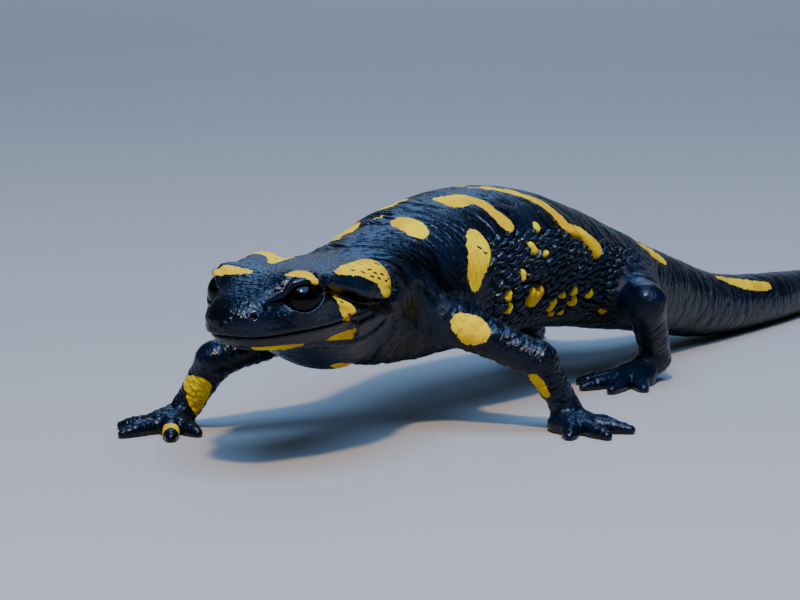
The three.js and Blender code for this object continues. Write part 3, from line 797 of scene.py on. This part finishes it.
# Each is a smooth line of station, angle and radius on one side of the body.
BODY_MARKS = [
    # brows
    (LEFT, [(7.5, 64, 0.3), (8, 60, 0.55), (8.4, 53, 0.65), (8.7, 46, 0.6), (8.6, 41, 0.45)]),
    (RIGHT, [(7.2, 50, 0.7), (7.3, 60, 0.9), (7.5, 70, 0.8), (8, 80, 0.6)]),
    # glands
    (LEFT, [(13.4, 47, 0.45), (15.2, 48, 1), (17, 50, 1.8), (19.2, 49, 2.7), (20.9, 44, 2.9), (20.9, 35, 2.6),
            (20.9, 27, 2.2), (20.8, 21, 1.6)]),
    (RIGHT, [(13.5, 80, 0.5), (16, 74, 1), (19.5, 66, 1.6), (21.5, 54, 2.2), (21.3, 40, 2), (20.5, 28, 1.3)]),
    # cheeks
    (LEFT, [(12.2, 9, 0.75), (12.6, 5, 0.95), (12.9, 1, 1.1), (13.2, -3, 1.1), (13.1, -6, 0.9)]),
    (RIGHT, [(12, 12, 0.6), (13, 4, 0.9), (13.6, -4, 0.8)]),
    # jaw
    (LEFT, [(12.9, -45, 0.65), (14.2, -41, 1), (15.4, -38, 1.15), (15.8, -37, 0.95)]),
    (LEFT, [(3.2, -72, 0.35), (5.4, -65, 0.5), (7.4, -59, 0.6), (9.4, -55, 0.45)]),
    (RIGHT, [(12, -44, 0.7), (14.5, -40, 1.1), (16.5, -40, 0.8)]),
    # throat
    (LEFT, [(20.9, -76, 0.75), (23.2, -76, 1.05), (25.4, -79, 0.75)]),
    # shoulders
    (RIGHT, [(36, 60, 1.2), (38, 58, 1.6), (40, 56, 1.3)]),
    (RIGHT, [(40.4, 79, 0.2), (41.9, 82, 0.15)]),
    (LEFT, [(40.2, 77, 1.5), (40.4, 70, 1.95), (40, 62, 1.7)]),
    # back
    (LEFT, [(50.2, 83, 0.9), (50.9, 74, 1.8), (52.6, 73, 1.5), (53.9, 63, 1.15), (53.8, 52, 0.95),
            (54.2, 43, 1.05), (54.6, 37, 1.1)]),
    (LEFT, [(58.5, 88, 0.5), (60.5, 82, 0.8), (63, 71, 1), (64.6, 59, 1.05), (66, 48, 1), (66.5, 37, 1.05),
            (67.7, 29, 0.9), (70.2, 27, 0.95), (72, 22, 1.15), (74, 15, 1.25)]),
    (RIGHT, [(47, 66, 1.3), (49.5, 62, 1.7), (51, 52, 1.2), (51.3, 42, 1)]),
    (RIGHT, [(59, 84, 0.4), (61, 72, 1), (63.5, 60, 1.2), (66, 54, 0.8), (69, 46, 1.2), (70.5, 38, 1)]),
    (RIGHT, [(81, 72, 1), (84.5, 70, 1.4), (87.5, 64, 1)]),
    # flanks
    (LEFT, [(47.6, 34, 1), (47.5, 28, 1.7), (47.2, 19, 2.1), (46.2, 9, 1.7), (45.6, 2, 1.4),
            (45.5, -3, 1.3)]),
    (RIGHT, [(45.5, 30, 1), (46.2, 20, 1.9), (46, 8, 1.7), (45.2, -3, 1.1)]),
    (LEFT, [(60.3, 31, 0.75)]), (LEFT, [(57.6, 17, 0.55), (58.2, 12, 0.6)]), (LEFT, [(60.7, 9, 0.55)]),
    (LEFT, [(55.4, -2, 0.5), (55.4, -6, 0.45)]), (LEFT, [(52.9, -14, 0.55), (53, -18, 0.55)]),
    (LEFT, [(54, -25, 0.5), (54.1, -29, 0.5)]),
    (LEFT, [(58.2, -19, 0.9), (59.1, -25, 1.05), (60, -19, 0.9)]),
    (LEFT, [(65.2, -31, 0.85), (65.4, -36, 0.75)]), (LEFT, [(67.7, -44, 0.65)]), (LEFT, [(70.2, -43, 0.7)]),
    (LEFT, [(66.9, -25, 0.6)]), (LEFT, [(69.7, -22, 0.75)]), (LEFT, [(71.2, -32, 0.85)]),
    (LEFT, [(74.5, -23, 0.8)]), (LEFT, [(81, -38, 0.65)]), (RIGHT, [(54.5, -6, 0.5)]),
    (RIGHT, [(57.4, -17, 0.7), (58.4, -21, 0.6)]), (RIGHT, [(62, -8, 0.45)]),
    (RIGHT, [(65.5, -26, 0.7), (66.6, -24, 0.6)]), (RIGHT, [(70.5, -14, 0.5)]), (RIGHT, [(73.5, -30, 0.6)]),
    (RIGHT, [(78, -24, 0.55)]), (RIGHT, [(60.5, 22, 0.5)]),
    # hips and tail
    (LEFT, [(92, 52, 0.9), (95, 47, 1.3), (98, 44, 0.9)]),
    (RIGHT, [(97, 58, 1), (101, 54, 1.5), (105, 56, 0.9)]),
    (LEFT, [(117.5, 60, 0.5), (121, 55, 0.9), (126, 46, 1), (130.5, 40, 0.7)]),
    (RIGHT, [(115, 46, 0.9), (119, 42, 1.3), (122, 46, 0.8)]),
    (RIGHT, [(134, 55, 0.7), (138, 52, 1.1), (142, 56, 0.6)]),
    (LEFT, [(145, 52, 0.6), (149, 50, 0.9), (152, 54, 0.5)]),
    (RIGHT, [(157, 60, 0.5), (160.5, 60, 0.7)]),
]
# Marks on the limbs: smooth lines of x, y, z and radius.
LIMB_MARKS = [
    [(12, -21.7, 14.2, 1.4), (12.9, -21, 13.6, 1.9), (13.5, -20.6, 13.2, 1.7), (12.6, -21.3, 12.6, 1.3)],
    [(19, -15.9, 7.4, 0.8), (19.1, -15.2, 6.3, 1), (19.4, -14.4, 5, 0.8)],
    [(-17.5, -38.8, 6.1, 1.1), (-15.2, -39.2, 6.3, 1.2), (-16.2, -38.7, 4.8, 1.5), (-16.8, -37.8, 3.3, 0.9),
     (-17.2, -37.1, 2.2, 0.5)],
    [(-17, -43.9, 1.2, 0.85), (-16.2, -43.3, 1.2, 0.85)],
    [(-14.5, 31.5, 14.5, 1.8), (-12.2, 30, 15, 1.5)],
    [(-17.5, 36, 8.5, 1.2), (-18.5, 37.5, 6.5, 0.9)],
]
MARK_BLEND = 0.3       # how widely marks run together
MARK_REACH = 2.0       # how far outside a mark its distance is still known
PORE_DEPTH, PORE_RADIUS, PORE_REACH = 0.1, 0.15, 1.0
# Black pores in the yellow: station and angle.
PORES = {
    LEFT: [(15.8, 47), (18.1, 52), (18.4, 43), (17.1, 41), (18.2, 34), (18.9, 38), (19.2, 31), (20, 34),
           (20.4, 26), (21.2, 28), (21.1, 18), (20.6, 47), (12.4, 8), (13.4, -6), (47.4, 24), (48.1, 19),
           (63.9, 60), (69, 27)],
    RIGHT: [(20, 62), (21.4, 52), (20.4, 42), (46.4, 18)],
}


def paint(clay):
    """Finds how deep inside a marking every vertex lies, and how near a pore."""
    gap = np.full(len(clay.p), MARK_REACH)
    lines = [clay.line(nodes, side, 4) for side, nodes in BODY_MARKS]
    lines += [smooth_path(nodes, 4) for nodes in LIMB_MARKS]
    for line in lines:
        gap = smooth_union(gap, line_distance(clay.p, line, MARK_REACH), MARK_BLEND)
    clay.marking = -gap
    clay.pore = np.full(len(clay.p), PORE_REACH)
    for side, pores in PORES.items():
        for station, angle in pores:
            line = clay.line([(station - 0.2, angle), (station + 0.2, angle - 2)], side, 2)
            clay.pore = np.minimum(clay.pore, line_distance(clay.p, line, PORE_REACH))


# ---------- the skin: grown, worked and set on the frame ----------

skin_mesh = rough_form()
settle(skin_mesh)
refine(skin_mesh, fine_parts(skin_mesh))
settle(skin_mesh)
clay = Clay(skin_mesh)
paint(clay)
shape_head(clay)
open_eyes(clay)
wrinkle(clay)
wrinkle_limbs(clay)
clay.push -= PORE_DEPTH * bell(clay.pore, PORE_RADIUS)
relief = clay.push * (1 - clay.still)
worked = clay.p + clay.n * relief[:, None]
worked[:, 2] = np.maximum(worked[:, 2], 0)      # nothing sinks below the floor
folded = smoothstep(16, 27, clay.s) * (1 - clay.still) * (1 - 0.8 * flank(clay.s, clay.angle))
kept = {"marking": clay.marking, "pore": clay.pore, "relief": relief, "folded": folded, "lie": clay.lie}
for name, values in kept.items():
    store(skin_mesh, name, values)


def to_frame(p):
    """From the animal's millimetres to the frame's metres."""
    low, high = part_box("eye_left")
    centre = (np.array(low) + np.array(high)) / 2
    return (p - eye_centre(LEFT)) * MM + centre


def smooth_object(name, data, p):
    """An object of smooth faces with its vertices at the given places, in metres."""
    set_places(data, p)
    for polygon in data.polygons:
        polygon.use_smooth = True
    made = bpy.data.objects.new(name, data)
    bpy.context.collection.objects.link(made)
    return made


set_places(skin_mesh, worked)
skin = smooth_object("skin", skin_mesh, to_frame(read(skin_mesh, "co")))
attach(skin, "root")
flesh = [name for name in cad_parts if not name.startswith("eye_")]
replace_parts(skin, *flesh)


# ---------- materials ----------


def linear(hex_colour):
    """An sRGB hex colour as linear values."""
    parts = [int(hex_colour[i:i + 2], 16) / 255 for i in (1, 3, 5)]
    return tuple(c / 12.92 if c <= 0.04045 else ((c + 0.055) / 1.055) ** 2.4 for c in parts) + (1,)


def feed(tree, node, inputs):
    """Gives each input a value or a link; an input is named, or numbered as i0, i1, i2."""
    for key, value in inputs.items():
        numbered = key[0] == "i" and key[1:].isdigit()
        socket = node.inputs[int(key[1:]) if numbered else key.replace("_", " ")]
        if isinstance(value, bpy.types.NodeSocket):
            tree.links.new(value, socket)
        else:
            socket.default_value = value


def add(tree, kind, settings=None, **inputs):
    """Adds a node with its settings and inputs."""
    node = tree.nodes.new("ShaderNode" + kind)
    for key, value in (settings or {}).items():
        setattr(node, key, value)
    feed(tree, node, inputs)
    return node


def principled(name):
    """A new material, its node tree and its one shader."""
    material = bpy.data.materials.new(name)
    material.use_nodes = True
    return material, material.node_tree, material.node_tree.nodes["Principled BSDF"]


def maths(tree, operation, *values):
    """Adds a Math node and gives its result."""
    inputs = {f"i{k}": value for k, value in enumerate(values)}
    return add(tree, "Math", {"operation": operation}, **inputs).outputs[0]


def soft_step(tree, value, low, high):
    smooth = {"interpolation_type": "SMOOTHSTEP"}
    return add(tree, "MapRange", smooth, Value=value, i1=low, i2=high).outputs[0]


def grain(tree, place, size, detail, roughness=0.5):
    noisy = add(tree, "TexNoise", Vector=place, Scale=1 / size, Detail=detail, Roughness=roughness)
    return noisy.outputs["Fac"]


def ramp(tree, factor, *stops):
    """A colour that goes through stops, each a position and a hex colour."""
    node = add(tree, "ValToRGB", i0=factor)
    elements = node.color_ramp.elements
    for k, (position, colour) in enumerate(stops):
        element = elements[k] if k < 2 else elements.new(position)
        element.color, element.position = linear(colour), position
    return node.outputs[0]


def moist_skin():
    """Wet amphibian skin: nearly black, blue where it mirrors the sky lamp and with a bluish tint that partly
    paints that sheen into its colour, painted shade in its furrows, and yellow markings.
    """
    material, tree, shader = principled("moist skin")
    place = add(tree, "TexCoord").outputs["Object"]
    lie = add(tree, "Attribute", {"attribute_name": "lie"}).outputs["Vector"]
    marking, pore, relief, folded = [add(tree, "Attribute", {"attribute_name": name}).outputs["Fac"]
                                     for name in ("marking", "pore", "relief", "folded")]

    # the markings' granular edge: skin grains about 0.35 mm across on lobes of 1.6 mm
    ragged = maths(tree, "MULTIPLY_ADD", grain(tree, place, 0.35 * MM, 1.0), 0.42, marking)
    ragged = maths(tree, "MULTIPLY_ADD", grain(tree, place, 1.6 * MM, 2.0), 0.12, ragged)
    yellow = maths(tree, "MULTIPLY", soft_step(tree, ragged, 0.25, 0.3), soft_step(tree, pore, 0.1, 0.16))

    # the colours drift over patches of about 6 mm, and the black gets painted shade in its furrows, grooves
    # and pits
    patches = grain(tree, place, 6 * MM, 3.0)
    gold = ramp(tree, patches, (0.38, "#d2a000"), (0.6, "#e8c400"))
    # the black's bluish tone partly paints the sky's sheen into the colour
    black = ramp(tree, patches, (0.3, "#03060c"), (0.7, "#0a1828"))
    # painted shade: where the relief sinks below -0.12 mm the black turns to near-black #010203; from 0.06 mm
    # up it keeps its tone
    ridge_out_of_painted_shade = soft_step(tree, relief, -0.12, 0.06)
    mix = {"data_type": "RGBA"}
    black = add(tree, "Mix", mix, i0=ridge_out_of_painted_shade, i6=linear("#010203"), i7=black).outputs[2]
    colour = add(tree, "Mix", mix, i0=yellow, i6=black, i7=gold).outputs[2]

    # fine creases between the modelled folds, drawn out along them and fainter in the yellow
    crease = maths(tree, "ABSOLUTE", maths(tree, "SUBTRACT", grain(tree, lie, 1.7, 2.0), 0.5))
    crease = maths(tree, "MULTIPLY", soft_step(tree, crease, 0.0, 0.07), folded)
    crease = maths(tree, "MULTIPLY", crease, maths(tree, "MULTIPLY_ADD", yellow, -0.35, 1.0))
    folds = add(tree, "Bump", Height=crease, Strength=0.4, Distance=0.16 * MM).outputs[0]

    # grit all over: cells of 0.42 mm and finer grain
    cells = add(tree, "TexVoronoi", {"feature": "DISTANCE_TO_EDGE"}, Vector=place, Scale=1 / (0.42 * MM))
    fine = grain(tree, place, 0.3 * MM, 3.0, 0.6)
    grit = maths(tree, "MULTIPLY_ADD", cells.outputs["Distance"], 0.6, fine)
    bump = add(tree, "Bump", Height=grit, Normal=folds, Strength=0.75, Distance=0.08 * MM).outputs[0]

    # the black is wet, the yellow nearly matt
    wet = add(tree, "MapRange", Value=fine, i1=0.3, i2=0.7, i3=0.13, i4=0.25).outputs[0]
    rough = maths(tree, "MULTIPLY_ADD", yellow, 0.68, wet)
    feed(tree, shader, {"Base Color": colour, "Roughness": rough, "Normal": bump, "IOR": 1.34})
    return material


def wet_eye():
    """A glossy black eyeball: a dark brown iris round the pupil, under a clear wet cornea."""
    material, tree, shader = principled("wet eye")
    ring = add(tree, "Attribute", {"attribute_name": "from_pupil"}).outputs["Fac"]
    iris = ramp(tree, ring, (0.36, "#020203"), (0.42, "#090706"), (0.8, "#020203"))
    feed(tree, shader, {"Base Color": iris, "Roughness": 0.06, "IOR": 1.34, "Specular IOR Level": 0.35})
    return material


skin_mesh.materials.append(moist_skin())

# ---------- eyeballs ----------

EYE_FIT = 0.985                         # the eyeball's share of its radius in the solids
CORNEA_BULGE, CORNEA_SPREAD = 0.035, 42
eye_material = wet_eye()


def eyeball(name, side):
    mesh = bmesh.new()
    bmesh.ops.create_icosphere(mesh, subdivisions=5, radius=1)
    data = bpy.data.meshes.new(name)
    mesh.to_mesh(data)
    mesh.free()
    d = unit(read(data, "co"))
    turned = np.degrees(np.arccos(np.clip(d @ eye_axes(side)[0], -1, 1)))
    store(data, "from_pupil", turned / 90)
    bulge = 1 + CORNEA_BULGE * bell(turned, CORNEA_SPREAD)
    radius = EYE_RADIUS * EYE_FIT * bulge
    ball = smooth_object(name, data, to_frame(eye_centre(side) + d * radius[:, None]))
    data.materials.append(eye_material)
    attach(ball, "root")
    return ball


for word, side in SIDES:
    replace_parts(eyeball(f"eyeball_{word}", side), f"eye_{word}")

# ---------- camera, floor and lights ----------

CAMERA_AZIMUTH, CAMERA_ELEVATION = 35, 9.5
CAMERA_AWAY = 480                     # millimetres from the eye
FIELD_WIDTH = 94.1                    # across the camera's view at the eye's distance
EYE_LEFT_OF_MIDDLE, EYE_ABOVE_MIDDLE = 11.65, 0.18
SENSOR = 36
CLIP_START, CLIP_END = 0.01, 10

# the floor's near edge, where it starts to curve up, the curve's radius, the wall's top and half its width
FLOOR_NEAR, FLOOR_FAR, CURVE, WALL_TOP, HALF_WIDTH = -1.2, 0.9, 0.5, 1.8, 2.5
MODEL_MIDDLE = (0, 0, 0.02)
WORLD_COLOUR, WORLD_STRENGTH = "#b9cdf0", 0.09


def out_at(azimuth, elevation, metres):
    """A place in the given direction: azimuth 0 is ahead of the animal, 90 its left."""
    az, el = math.radians(azimuth), math.radians(elevation)
    ahead, left = -metres * math.cos(az) * math.cos(el), metres * math.sin(az) * math.cos(el)
    return (left, ahead, metres * math.sin(el))


# name, place, size in metres, watts, colour, what it shines at
LIGHTS = [
    ("sun", out_at(30, 50, 0.65), 0.05, 3.9, "#ffe2b8", MODEL_MIDDLE),
    ("sky", out_at(40, 66, 0.6), 0.6, 8.2, "#80b4ff", MODEL_MIDDLE),
    ("far sky", out_at(215, 45, 0.9), 0.5, 2.4, "#80b4ff", MODEL_MIDDLE),
    ("backdrop", out_at(215, 42, 1.1), 0.6, 8, "#b4d2ff", out_at(215, 8, 1.6)),
]

back = np.array(out_at(CAMERA_AZIMUTH, CAMERA_ELEVATION, 1))
rightward = unit(np.cross(-back, (0, 0, 1)))
upward = np.cross(rightward, -back)
look_at = eye_centre(LEFT) + rightward * EYE_LEFT_OF_MIDDLE - upward * EYE_ABOVE_MIDDLE
camera = bpy.data.objects.new("camera", bpy.data.cameras.new("camera"))
bpy.context.collection.objects.link(camera)
camera.data.sensor_width = SENSOR
camera.data.lens = SENSOR * CAMERA_AWAY / FIELD_WIDTH
camera.location = to_frame(look_at + back * CAMERA_AWAY)
camera.rotation_mode = "QUATERNION"
camera.rotation_quaternion = Vector(-back).to_track_quat("-Z", "Y")
camera.data.clip_start, camera.data.clip_end = CLIP_START, CLIP_END
bpy.context.scene.camera = camera

# A pale floor that curves up into a backdrop far behind.
sweep = bpy.data.meshes.new("studio sweep")
profile = [(FLOOR_NEAR, 0), (FLOOR_FAR, 0)]
for a in np.radians(np.arange(6, 91, 6)):
    profile.append((FLOOR_FAR + CURVE * math.sin(a), CURVE - CURVE * math.cos(a)))
profile.append((FLOOR_FAR + CURVE, WALL_TOP))
away = unit(np.array([-back[0], -back[1], 0]))
across = np.array([-away[1], away[0], 0])
points = [tuple(away * d + across * w + np.array([0, 0, h]))
          for d, h in profile for w in (-HALF_WIDTH, HALF_WIDTH)]
strips = range(0, 2 * len(profile) - 2, 2)
sweep.from_pydata(points, [], [(i, i + 1, i + 3, i + 2) for i in strips])
floor = smooth_object("studio sweep", sweep, np.array(points))
paper, tree, shader = principled("matt paper")
feed(tree, shader, {"Base Color": linear("#a69e90"), "Roughness": 0.9})
sweep.materials.append(paper)

world = bpy.context.scene.world or bpy.data.worlds.new("studio")
bpy.context.scene.world = world
world.use_nodes = True
background = world.node_tree.nodes["Background"]
feed(world.node_tree, background, {"Color": linear(WORLD_COLOUR), "Strength": WORLD_STRENGTH})

for name, place, size, watts, colour, target in LIGHTS:
    lamp = bpy.data.objects.new(name, bpy.data.lights.new(name, "AREA"))
    lamp.data.shape = "DISK"
    lamp.data.size = size
    lamp.data.energy = watts
    lamp.data.color = linear(colour)[:3]
    lamp.location = place
    lamp.rotation_mode = "QUATERNION"
    lamp.rotation_quaternion = (Vector(target) - Vector(place)).to_track_quat("-Z", "Y")
    bpy.context.collection.objects.link(lamp)
